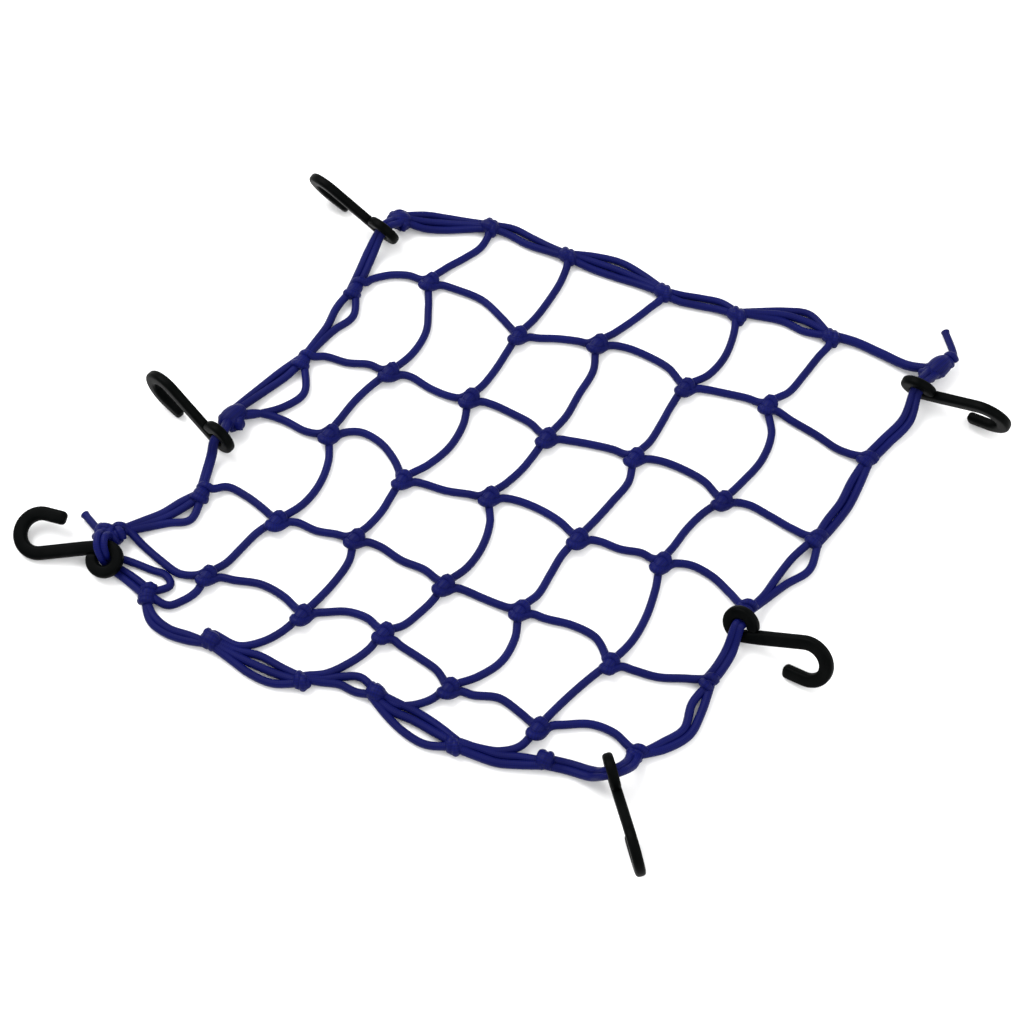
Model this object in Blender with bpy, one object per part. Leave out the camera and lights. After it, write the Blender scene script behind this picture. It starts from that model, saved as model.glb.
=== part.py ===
"""A luggage net of knotted elastic cord with six moulded S-hooks, lying loosely on a floor.

Plan coordinates: +X runs to the right of the net, +Y away from its near corner, +Z up.
The origin lies under the middle knot, on the floor. Tables are in millimetres.
"""

import math

import bmesh
import bpy
from mathutils import Euler, Vector

for old_object in list(bpy.data.objects):
    bpy.data.objects.remove(old_object, do_unlink=True)

MM = 0.001
WELD_MM = 0.02
KEPT_SHARE = 0.65

# The even net: one step down a column and one step along a row.
STEP_DOWN_MM = Vector((-38.0, -50.0, 0.0))
STEP_ACROSS_MM = Vector((56.0, -24.0, 0.0))
KNOTS_A_SIDE = 7
MIDDLE = 3
LAST = KNOTS_A_SIDE - 1

# How far each knot lies from its place in the even net, as (x, y); one line for each row of knots.
KNOT_DRIFT_MM = (
    ((-9, 1), (-3, 20), (-4, 19), (6, 12), (1, 17), (7, 24), (24, 19)),
    ((-5, -9), (-7, 24), (-1, 3), (-2, 20), (1, 9), (1, 19), (7, -2)),
    ((0, -16), (5, -1), (4, 2), (0, -5), (3, 4), (4, -5), (7, -12)),
    ((-7, -12), (4, 0), (-2, -11), (0, 0), (2, -7), (0, -1), (-4, -15)),
    ((14, -20), (10, -16), (6, -5), (9, -15), (2, -9), (3, -22), (8, -12)),
    ((3, 3), (5, -6), (12, -10), (9, 1), (-5, -13), (-5, -16), (-1, -9)),
    ((32, 44), (5, 30), (-7, 21), (-4, 18), (-14, 32), (-19, 23), (-19, 35)),
)

# Height of a knot's middle: flat on the floor, or held up by the hook beside it.
KNOT_REST_MM = 5.0
KNOT_HELD_MM = {(0, 0): 9.0, (3, 0): 9.0, (5, 0): 6.0, (6, 0): 8.0, (0, 6): 10.0, (3, 6): 10.0}

# Cord thicknesses, sides of a strand's section, and how fast a strand drops from a knot.
ROW_CORD_MM = 4.9
COLUMN_CORD_MM = 4.2
LOOSE_CORD_MM = 4.8
CORD_SIDES = 6
DROP_POWER = 4

# Where a strand bows aside from the straight way between its knots, to the left of that way:
# at a quarter, at the half and at three quarters. One line for each row, one entry for each cell.
ROW_BOWS_MM = {
    1: ((7.5, 9, 7), (4.5, 8.5, 6), (0.5, 1, 0), (6.5, 8.5, 6.5), (2, 2.5, 1.5), (-0.5, -1, 0)),
    2: ((5, 3.5, 4), (1.5, -1.5, -2.5), (3.5, 4, 3.5), (2.5, 3, 3), (6.5, 8, 7), (3.5, 3.5, 3)),
    3: ((5.5, 4, -1.5), (11.5, 14, 11), (0, -2, -1), (6.5, 7, 5), (2, 2, 3), (10, 11.5, 7.5)),
    4: ((11, 10, 5.5), (2.5, -0.5, 0), (4.5, 2, 3), (1.5, -0.5, -1), (4, 10, 11), (-2.5, -3, -0.5)),
    5: ((-2, -6.5, -8), (4.5, 9.5, 7), (6, 9.5, 9), (2, 3, 3), (2, 8.5, 6.5), (7, 12.5, 10)),
}
# The same down each column, where left of the way is +X.
COLUMN_BOWS_MM = {
    1: ((6.5, 4, 1), (5.5, 10.5, 9.5), (-3.5, -3.5, -1.5), (9.5, 11.5, 9.5), (-1, 1, 2.5), (8.5, 12, 12)),
    2: ((5.5, 5.5, 3.5), (1.5, 2, 2), (9, 11, 7), (2.5, 4, 4.5), (7.5, 7.5, 5.5), (9.5, 12, 9.5)),
    3: ((4, 4, 2.5), (6, 5.5, 3), (2.5, 4.5, 3.5), (9, 11.5, 8.5), (5, 7.5, 7), (2.5, 3.5, 3)),
    4: ((5.5, 9.5, 7.5), (1, 2, 2.5), (6.5, 6, 4.5), (-0.5, 2, 4), (12.5, 14, 9.5), (5.5, 9, 7.5)),
    5: ((5, 5, 5), (10.5, 13, 6), (-3.5, -3, -1), (4, 7, 5), (-0.5, -1.5, -0.5), (7.5, 10, 5)),
}
# The border's strands: from knot, to knot, bows at a quarter, half and three quarters, thickness.
BORDER_MM = (
    ((0, 0), (0, 1), (7.5, 7, 5), 4.6),
    ((0, 0), (0, 1), (1, 1.5, 1.5), 4.6),
    ((0, 0), (0, 1), (-4.5, -3.5, -1.5), 4.6),
    ((0, 1), (0, 2), (7, 5.5, 3.5), 4.6),
    ((0, 1), (0, 2), (0.5, -1.5, -1), 4.6),
    ((0, 2), (0, 3), (9.5, 12.5, 9), 4.6),
    ((0, 2), (0, 3), (4, 5, 4), 4.4),
    ((0, 2), (0, 3), (-2.5, -2, -0.5), 4.6),
    ((0, 3), (0, 4), (4, 6.5, 7.5), 4.6),
    ((0, 3), (0, 4), (-2, -0.5, 1), 4.6),
    ((0, 4), (0, 5), (9, 14, 15.5), 4.6),
    ((0, 4), (0, 5), (6.5, 9.5, 8), 4.4),
    ((0, 4), (0, 5), (4.5, 5, 0.5), 4.6),
    ((0, 5), (0, 6), (3, 0.5, -3), 5.8),
    ((1, 0), (2, 0), (-3, -0.5, -0.5), 4.8),
    ((1, 0), (2, 0), (10.5, 5, 2), 4.6),
    ((2, 0), (3, 0), (-4.5, -5, -4.5), 4.6),
    ((2, 0), (3, 0), (3.5, 2, 1), 4.6),
    ((2, 0), (3, 0), (19.5, 18, 11), 4.6),
    ((4, 0), (5, 0), (-3, -1, -0.5), 4.8),
    ((4, 0), (5, 0), (14, 11, 6.5), 4.6),
    ((6, 1), (6, 2), (-11, -11.5, -7.5), 6.4),
    ((6, 2), (6, 3), (1, 4, 2.5), 4.6),
    ((6, 2), (6, 3), (-2.5, -3, -3), 4.6),
    ((6, 2), (6, 3), (-6, -9.5, -9.5), 4.6),
    ((6, 3), (6, 4), (3.5, 8, 10), 4.6),
    ((6, 3), (6, 4), (1.5, 2.5, -0.5), 4.6),
    ((6, 4), (6, 5), (3.5, 5, 4.5), 4.8),
    ((6, 4), (6, 5), (-3, -3.5, -2.5), 4.8),
    ((6, 4), (6, 5), (-7.5, -10.5, -10), 4.6),
    ((6, 5), (6, 6), (-0.5, -2, -0.5), 4.8),
    ((6, 5), (6, 6), (-4.5, -6, -4.5), 4.8),
    ((1, 6), (2, 6), (4.5, 6.5, 4.5), 5.4),
    ((1, 6), (2, 6), (-1, 0, -1), 5.4),
    ((2, 6), (3, 6), (10, 5.5, 3), 4.6),
    ((2, 6), (3, 6), (-3.5, -2, 0.5), 4.6),
    ((4, 6), (5, 6), (2, 7, 5), 4.8),
    ((4, 6), (5, 6), (10.5, 16, 13.5), 4.8),
)

HOOK_BLACK = (0.004, 0.004, 0.004)
CORD_BLUE = (0.010, 0.010, 0.180)

# The hook in its own plane: u along the shaft to the large curl, v across, w out of the plane.
# The eye's hole is round (0, 0) and the shaft runs below it.
EYE_RADIUS_MM = 8.6
EYE_BAR_MM = 8.0
EYE_SWEEP_DEG = 280.0
CURL_RADIUS_MM = 13.4
CURL_START_MM = 43.5
CURL_SWEEP_DEG = 200.0
CURL_LEG_MM = 12.5
BAR_MM = 9.1
BAR_DEEP_MM = 6.6
CORNER_MM = 1.9
TIP_SCALE = 0.62
TIP_LENGTH_MM = 1.8

# Each hook: middle of its eye on the plan, swing in its plane, roll (90 stands on edge),
# slope of the nose down to the floor, and heading of the nose.
HOOKS = {
    "hook_far_left": {"eye": (-76.5, 208.5), "swing": 33, "roll": 73, "slope": 0, "heading": 140},
    "hook_left": {"eye": (-181.0, 39.0), "swing": 32, "roll": 91, "slope": 0, "heading": 139},
    "hook_near_left": {"eye": (-250.0, -49.0), "swing": 0, "roll": -14, "slope": 9, "heading": 182},
    "hook_near": {"eye": (75.5, -198.0), "swing": 30, "roll": 98, "slope": 0, "heading": 284},
    "hook_right": {"eye": (159.0, -98.5), "swing": 34, "roll": 67, "slope": 0, "heading": 323},
    "hook_far_right": {"eye": (289.0, 78.0), "swing": 33, "roll": 105, "slope": 0, "heading": 330},
}

# The border's pairs of strands that run through a hook's eye: hook, from knot, to knot, bow on the
# way in, bows at the half and at three quarters, and how far apart the two lie outside the eye.
THREADED_MM = (
    ("hook_far_left", (0, 0), (1, 0), 0, (-6.5, -3.5), 4.6),
    ("hook_left", (3, 0), (4, 0), 0, (-3, -2), 2.6),
    ("hook_near", (5, 6), (6, 6), 2.5, (9.5, 4.5), 4.6),
    ("hook_right", (3, 6), (4, 6), 0, (2, 2), 4.4),
    ("hook_far_right", (0, 6), (1, 6), 0, (3.5, 2), 5.0),
)
PAIR_CORD_MM = 4.7
EYE_CORD_MM = 4.0
EYE_PAIR_MM = 3.7
EYE_STRAIGHT_MM = 5.0
# The near left pair climbs from its knot over the hook's shaft, goes down through the eye and out
# under the ring: x, y, z, thickness and distance apart.
CORNER_PAIR_MM = (
    (-249.5, -31.0, 10.0, 4.7, 4.7),
    (-251.5, -36.0, 17.9, 4.4, 4.4),
    (-251.8, -43.5, 18.0, 4.2, 4.0),
    (-250.4, -48.4, 12.5, 3.9, 3.6),
    (-249.8, -48.7, 7.2, 3.9, 3.6),
    (-246.8, -50.8, 2.5, 3.9, 3.7),
    (-236.5, -57.8, 2.5, 4.4, 4.4),
    (-228.4, -64.2, 2.6, 4.7, 4.6),
    (-221.5, -71.0, 5.0, 4.7, 4.6),
)
# The slack loop beside it: x, y, z.
SLACK_LOOP_MM = (
    (-248.0, -50.6, 3.4),
    (-243.5, -45.5, 2.6),
    (-237.0, -46.6, 2.4),
    (-220.0, -53.6, 2.4),
    (-210.5, -57.5, 2.4),
    (-207.0, -64.5, 2.4),
    (-221.0, -71.5, 5.0),
)

# Knots: length, width, height, heading of the length, and place of the lump from the strands' end.
KNOT_BELOW_MM = 6.5
KNOT_SIZE_MM = (14.0, 12.5, 10.4, -23.0, (-0.5, -1.5))
BIG_KNOTS_MM = {
    (0, 0): (15.0, 13.0, 12.0, -23.0, (0.0, 0.0)),
    (0, 6): (25.0, 14.5, 13.0, 37.0, (-1.5, 0.0)),
    (3, 0): (20.0, 12.5, 12.0, -50.0, (2.5, -3.5)),
    (6, 0): (19.0, 12.0, 13.0, -20.0, (3.5, 4.3)),
    (6, 1): (18.0, 13.5, 10.4, 95.0, (-0.3, -1.6)),
}
# Cut ends of the cord: knot, from and to.
LOOSE_ENDS_MM = (
    (Vector((313.0, 103.0, 9.0)), Vector((318.5, 108.5, 6.0)), Vector((315.5, 130.5, 3.2))),
    (Vector((-252.0, -33.0, 8.0)), Vector((-256.0, -27.5, 7.0)), Vector((-267.5, -13.0, 3.2))),
)


def material(name, color, roughness):
    made = bpy.data.materials.new(name)
    made.use_nodes = True
    shader = made.node_tree.nodes["Principled BSDF"]
    shader.inputs["Base Color"].default_value = (*color, 1.0)
    shader.inputs["Roughness"].default_value = roughness
    shader.inputs["Metallic"].default_value = 0.0
    return made


def mesh_object(name, vertices_mm, faces, surface):
    mesh = bpy.data.meshes.new(name)
    mesh.from_pydata([tuple(c * MM for c in v) for v in vertices_mm], [], faces)
    mesh.update()
    made = bpy.data.objects.new(name, mesh)
    made.data.materials.append(surface)
    bpy.context.scene.collection.objects.link(made)
    return made


def loft_faces(rings, sides):
    """Faces of a closed tube of equal rings, its ends filled."""
    faces = [tuple(range(sides - 1, -1, -1))]
    for ring in range(rings - 1):
        first = ring * sides
        for side in range(sides):
            after = (side + 1) % sides
            faces.append((first + side, first + after, first + sides + after, first + sides + side))
    last = (rings - 1) * sides
    faces.append(tuple(range(last, last + sides)))
    return faces


def knot_place(row, column):
    """Middle of a knot, in millimetres."""
    drift = KNOT_DRIFT_MM[row][column]
    place = (row - MIDDLE) * STEP_DOWN_MM + (column - MIDDLE) * STEP_ACROSS_MM
    place += Vector((drift[0], drift[1], 0.0))
    place.z = KNOT_HELD_MM.get((row, column), KNOT_REST_MM)
    return place


def lying_height(start_z, end_z, along, rest):
    """A strand drops from its knots to the floor."""
    return rest + (start_z - rest) * (1 - along) ** DROP_POWER + (end_z - rest) * along ** DROP_POWER


def strand_points(start, end, bows, thickness):
    """Points of a strand that lies on the floor between two knots."""
    way = end - start
    side = Vector((-way.y, way.x, 0.0)).normalized()
    points = [start]
    for along, bow in zip((0.25, 0.5, 0.75), bows):
        point = start + way * along + side * bow
        point.z = lying_height(start.z, end.z, along, thickness / 2)
        points.append(point)
    points.append(end)
    return points


def cord_body(name, route, thicknesses, surface):
    """A closed tube with a flat underside along the route, with a thickness for each point."""
    vertices = []
    for index, (middle, thickness) in enumerate(zip(route, thicknesses)):
        radius = 0.5 * thickness / math.cos(math.pi / CORD_SIDES / 2)
        before = route[max(index - 1, 0)]
        after = route[min(index + 1, len(route) - 1)]
        forward = (after - before).normalized()
        left = Vector((-forward.y, forward.x, 0.0)).normalized()
        up = forward.cross(left)
        for side in range(CORD_SIDES):
            angle = 2 * math.pi * (side + 0.5) / CORD_SIDES - math.pi / 2
            vertices.append(middle + radius * (math.cos(angle) * left + math.sin(angle) * up))
    faces = [face[::-1] for face in loft_faces(len(route), CORD_SIDES)]
    return mesh_object(name, vertices, faces, surface)


def hook_section(bar, deep):
    """Rounded bar of the hook, as (across, out of the plane)."""
    a, b, c = bar / 2, deep / 2, CORNER_MM
    return ((a, b - c), (a - c, b), (c - a, b), (-a, b - c), (-a, c - b), (c - a, -b), (a - c, -b), (a, c - b))


def hook_stations():
    """Middle line of the hook as (u, v, heading in degrees, bar width, scale)."""
    shaft_v = -EYE_RADIUS_MM
    stations = []
    eye_steps = 9
    for step in range(eye_steps, -1, -1):
        angle = -90.0 - EYE_SWEEP_DEG * step / eye_steps
        place = (EYE_RADIUS_MM * math.cos(math.radians(angle)), EYE_RADIUS_MM * math.sin(math.radians(angle)))
        stations.append((place[0], place[1], angle + 90.0, EYE_BAR_MM, 1.0))
    stations.append((12.0, shaft_v, 0.0, BAR_MM, 1.0))
    curl_steps = 9
    center = (CURL_START_MM, shaft_v - CURL_RADIUS_MM)
    for step in range(curl_steps + 1):
        angle = 90.0 - CURL_SWEEP_DEG * step / curl_steps
        u = center[0] + CURL_RADIUS_MM * math.cos(math.radians(angle))
        v = center[1] + CURL_RADIUS_MM * math.sin(math.radians(angle))
        stations.append((u, v, angle - 90.0, BAR_MM, 1.0))
    u, v, heading, bar, scale = stations[-1]
    for length, size in ((CURL_LEG_MM, 1.0), (CURL_LEG_MM + TIP_LENGTH_MM, TIP_SCALE)):
        along = (math.cos(math.radians(heading)), math.sin(math.radians(heading)))
        stations.append((u + length * along[0], v + length * along[1], heading, bar, size))
    u, v, heading, bar, scale = stations[0]
    along = (math.cos(math.radians(heading)), math.sin(math.radians(heading)))
    tip = (u - TIP_LENGTH_MM * along[0], v - TIP_LENGTH_MM * along[1], heading, bar, TIP_SCALE)
    return [tip] + stations


def hook_turn(pose):
    """Rotation that takes the hook's own axes to its pose."""
    swing = Euler((0, 0, math.radians(pose["swing"]))).to_matrix()
    roll = Euler((math.radians(pose["roll"]), 0, 0)).to_matrix()
    slope = Euler((0, math.radians(pose["slope"]), 0)).to_matrix()
    heading = Euler((0, 0, math.radians(pose["heading"]))).to_matrix()
    return heading @ slope @ roll @ swing


def hook_body(name, pose, surface):
    turn = hook_turn(pose)
    vertices = []
    stations = hook_stations()
    for u, v, heading, bar, scale in stations:
        normal = Vector((-math.sin(math.radians(heading)), math.cos(math.radians(heading)), 0.0))
        for across, out in hook_section(bar, BAR_DEEP_MM):
            local = Vector((u, v, 0.0)) + scale * (across * normal + Vector((0, 0, out)))
            vertices.append(turn @ local)
    lift = -min(vertex.z for vertex in vertices)
    place = Vector((pose["eye"][0], pose["eye"][1], lift))
    made = mesh_object(name, [vertex + place for vertex in vertices], loft_faces(len(stations), 8), surface)
    return made, place, turn @ Vector((0.0, 0.0, 1.0))


def knot_body(name, row, column, surface):
    """A lump with a flat underside, ridged by the turns of its cord."""
    long, wide, tall, heading, shift = BIG_KNOTS_MM.get((row, column), KNOT_SIZE_MM)
    center = knot_place(row, column) + Vector((shift[0], shift[1], 0.0))
    ball = bmesh.new()
    bmesh.ops.create_icosphere(ball, subdivisions=2, radius=1.0)
    turn = Euler((0, 0, math.radians(heading))).to_matrix()
    phase = 1.7 * row + 2.9 * column
    for vertex in ball.verts:
        way = vertex.co.normalized()
        angle = math.atan2(way.y, way.x)
        flat = 1.0 - way.z * way.z
        swell = 1.0 + flat * (0.07 * math.cos(2 * angle + 0.5) + 0.08 * math.cos(3 * angle + phase))
        swell -= 0.10 * max(way.z, 0.0) * math.cos(4 * way.x + phase)
        height = tall / 2 if way.z > 0 else KNOT_BELOW_MM
        vertex.co = center + swell * (turn @ Vector((way.x * long / 2, way.y * wide / 2, way.z * height)))
        vertex.co.z = max(vertex.co.z, 0.0)
    vertices = [vertex.co.copy() for vertex in ball.verts]
    faces = [tuple(vertex.index for vertex in face.verts) for face in ball.faces]
    ball.free()
    return mesh_object(name, vertices, faces, surface)


def knot_to_knot(pieces, start, end, bows, thickness, surface):
    points = strand_points(knot_place(*start), knot_place(*end), bows, thickness)
    pieces.append(cord_body("strand", points, [thickness] * len(points), surface))


def cord_pair(pieces, points, thicknesses, apart, surface):
    """Two strands side by side along the points."""
    for hand in (-1, 1):
        beside = []
        for index, (point, distance) in enumerate(zip(points, apart)):
            way = points[min(index + 1, len(points) - 1)] - points[max(index - 1, 0)]
            side = Vector((-way.y, way.x, 0.0)).normalized()
            beside.append(point + hand * 0.5 * distance * side)
        pieces.append(cord_body("pair", beside, thicknesses, surface))


def threaded_pair(pieces, eye, axis, start, end, bow_in, bows, apart, surface):
    """A pair that is drawn together and runs straight where it passes a hook's eye."""
    first = knot_place(*start)
    last = knot_place(*end)
    if (first - eye).dot(axis) < 0:
        axis = -axis
    into = eye + EYE_STRAIGHT_MM * axis
    way_in = into - first
    half_in = first + 0.5 * way_in + bow_in * Vector((-way_in.y, way_in.x, 0.0)).normalized()
    lying = strand_points(first, last, (0, *bows), PAIR_CORD_MM)
    points = [first, half_in, into, eye, eye - EYE_STRAIGHT_MM * axis] + lying[3:]
    thicknesses = [PAIR_CORD_MM] * 2 + [EYE_CORD_MM] * 3 + [PAIR_CORD_MM] * 2
    distances = [apart] * 2 + [EYE_PAIR_MM] * 3 + [apart] * 2
    cord_pair(pieces, points, thicknesses, distances, surface)


def net_pieces(eyes, surface):
    pieces = []
    for row in range(KNOTS_A_SIDE):
        for column in range(KNOTS_A_SIDE):
            pieces.append(knot_body("knot", row, column, surface))
    for row, cells in ROW_BOWS_MM.items():
        for column, bows in enumerate(cells):
            knot_to_knot(pieces, (row, column), (row, column + 1), bows, ROW_CORD_MM, surface)
    for column, cells in COLUMN_BOWS_MM.items():
        for row, bows in enumerate(cells):
            knot_to_knot(pieces, (row, column), (row + 1, column), bows, COLUMN_CORD_MM, surface)
    for start, end, bows, thickness in BORDER_MM:
        knot_to_knot(pieces, start, end, bows, thickness, surface)
    for hook_name, start, end, bow_in, bows, apart in THREADED_MM:
        threaded_pair(pieces, *eyes[hook_name], start, end, bow_in, bows, apart, surface)
    corner = [Vector(entry[:3]) for entry in CORNER_PAIR_MM]
    cord_pair(pieces, corner, [e[3] for e in CORNER_PAIR_MM], [e[4] for e in CORNER_PAIR_MM], surface)
    loop = [Vector(entry) for entry in SLACK_LOOP_MM]
    pieces.append(cord_body("slack_loop", loop, [LOOSE_CORD_MM] * len(loop), surface))
    for points in LOOSE_ENDS_MM:
        pieces.append(cord_body("loose_end", points, [LOOSE_CORD_MM] * len(points), surface))
    return pieces


def fused(name, pieces, surface):
    """One solid of all the pieces."""
    guides = bpy.data.collections.new("net_pieces")
    bpy.context.scene.collection.children.link(guides)
    for piece in pieces[1:]:
        bpy.context.scene.collection.objects.unlink(piece)
        guides.objects.link(piece)
    join = pieces[0].modifiers.new("join", "BOOLEAN")
    join.operation = "UNION"
    join.solver = "EXACT"
    join.operand_type = "COLLECTION"
    join.collection = guides
    graph = bpy.context.evaluated_depsgraph_get()
    mesh = bpy.data.meshes.new_from_object(pieces[0].evaluated_get(graph))
    mesh.name = name
    welded = bmesh.new()
    welded.from_mesh(mesh)
    bmesh.ops.triangulate(welded, faces=welded.faces)
    bmesh.ops.remove_doubles(welded, verts=welded.verts, dist=WELD_MM * MM)
    bmesh.ops.dissolve_degenerate(welded, edges=welded.edges, dist=WELD_MM * MM)
    welded.to_mesh(mesh)
    welded.free()
    whole = bpy.data.objects.new(name, mesh)
    whole.data.materials.clear()
    whole.data.materials.append(surface)
    bpy.context.scene.collection.objects.link(whole)
    for piece in pieces:
        bpy.data.objects.remove(piece, do_unlink=True)
    bpy.data.collections.remove(guides)
    lighter = whole.modifiers.new("fewer_faces", "DECIMATE")
    lighter.ratio = KEPT_SHARE
    return whole


cord_surface = material("elastic_cord", CORD_BLUE, 0.6)
hook_surface = material("moulded_hook", HOOK_BLACK, 0.35)

eyes = {}
for hook_name, hook_pose in HOOKS.items():
    eyes[hook_name] = hook_body(hook_name, hook_pose, hook_surface)[1:]
net = fused("net", net_pieces(eyes, cord_surface), cord_surface)
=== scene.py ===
import math

import bpy
import numpy as np
from mathutils import Euler, Matrix, Vector


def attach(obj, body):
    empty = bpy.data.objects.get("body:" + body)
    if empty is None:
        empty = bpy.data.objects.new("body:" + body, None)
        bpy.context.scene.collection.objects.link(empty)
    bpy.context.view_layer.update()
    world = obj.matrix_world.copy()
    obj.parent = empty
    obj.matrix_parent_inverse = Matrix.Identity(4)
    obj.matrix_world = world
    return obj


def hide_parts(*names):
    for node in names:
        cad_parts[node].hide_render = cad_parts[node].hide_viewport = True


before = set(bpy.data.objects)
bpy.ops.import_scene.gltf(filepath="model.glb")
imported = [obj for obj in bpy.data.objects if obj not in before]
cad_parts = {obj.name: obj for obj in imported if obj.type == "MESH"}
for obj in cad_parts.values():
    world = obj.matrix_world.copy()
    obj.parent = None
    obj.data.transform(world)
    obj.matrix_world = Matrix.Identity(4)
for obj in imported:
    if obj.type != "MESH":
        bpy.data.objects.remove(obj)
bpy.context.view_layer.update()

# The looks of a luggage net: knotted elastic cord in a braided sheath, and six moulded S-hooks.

MM = 0.001
UP = np.array((0.0, 0.0, 1.0))

# ---------------------------------------------------------------------------------------------
# The net's plan, in millimetres: +X right, +Y away, +Z up, the middle knot at the origin.
# ---------------------------------------------------------------------------------------------
STEP_DOWN = np.array((-38.0, -50.0, 0.0))
STEP_ACROSS = np.array((56.0, -24.0, 0.0))
KNOTS_A_SIDE = 7
MIDDLE = 3
LAST = KNOTS_A_SIDE - 1
# How far each knot lies from its place in the even net; one line for each row of knots.
KNOT_DRIFT = (
    ((-9, 1), (-3, 20), (-4, 19), (6, 12), (1, 17), (7, 24), (24, 19)),
    ((-5, -9), (-7, 24), (-1, 3), (-2, 20), (1, 9), (1, 19), (7, -2)),
    ((0, -16), (5, -1), (4, 2), (0, -5), (3, 4), (4, -5), (7, -12)),
    ((-7, -12), (4, 0), (-2, -11), (0, 0), (2, -7), (0, -1), (-4, -15)),
    ((14, -20), (10, -16), (6, -5), (9, -15), (2, -9), (3, -22), (8, -12)),
    ((3, 3), (5, -6), (12, -10), (9, 1), (-5, -13), (-5, -16), (-1, -9)),
    ((32, 44), (5, 30), (-7, 21), (-4, 18), (-14, 32), (-19, 23), (-19, 35)),
)
# Height of a knot's middle: flat on the floor, or held up by the hook beside it.
KNOT_REST = 5.0
KNOT_HELD = {(0, 0): 9.0, (3, 0): 9.0, (5, 0): 6.0, (6, 0): 8.0, (0, 6): 10.0, (3, 6): 10.0}

# Thickness of the cords, and how much fuller the border strands are than their solids.
ROW_CORD = 5.5
COLUMN_CORD = 5.4
LOOSE_CORD = 5.2
BORDER_SWELL = 1.18
# How fast a strand drops from its knot to the floor.
DROP_POWER = 4
# How far from its knot's middle a border strand may enter it.
KNOT_SPREAD = 2.6

# Bows of each strand to the left of its straight way: at a quarter, half and three quarters. One line
# for each row from the far side, or each column from the left, and one entry for each cell.
ROW_BOWS = {
    1: ((9, 11, 8), (6, 9.5, 5.5), (0, 1.5, 1), (7.5, 9.5, 8), (2, 2.5, 2), (-1, -0.5, -1.5)),
    2: ((6.5, 4, 4.5), (2, -1.5, -3), (4, 5, 4.5), (2, 3, 2.5), (6.5, 8.5, 7), (5.5, 4.5, 2.5)),
    3: ((7, 5.5, -0.5), (13, 14.5, 9.5), (0, -1.5, -1), (6, 7.5, 5.5), (2.5, 1.5, 3), (10, 11.5, 7.5)),
    4: ((11.5, 10, 5.5), (2, -0.5, 0), (3, 1.5, 3), (1, 0, -1), (4, 9.5, 10), (-1.5, -2.5, 0)),
    5: ((-2.5, -6, -8), (4, 8.5, 6.5), (5, 9, 7.5), (0.5, 2.5, 3.5), (2, 7.5, 4.5), (6.5, 11.5, 9.5)),
}
COLUMN_BOWS = {
    1: ((6, 3.5, 0), (6, 11.5, 9), (-3.5, -4.5, -3), (8.5, 11.5, 9), (-2.5, -1, 1), (8.5, 11.5, 11.5)),
    2: ((5, 5, 3.5), (0.5, 1.5, 1.5), (8, 10.5, 7), (0.5, 2, 1.5), (5, 5, 3), (7, 10, 8)),
    3: ((2.5, 2, 1), (6, 5, 4.5), (1.5, 2.5, 1.5), (8, 10.5, 8), (3, 4, 4), (4.5, 5.5, 4)),
    4: ((7, 10, 8), (-0.5, 1, 2), (6, 4.5, 2.5), (-1.5, 0.5, 2.5), (10, 13.5, 9), (6.5, 9, 7.5)),
    5: ((4.5, 5, 5), (10.5, 12, 7), (-3.5, -4, -2), (4.5, 7, 6), (-1.5, -2, -1.5), (9.5, 10, 5)),
}
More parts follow.
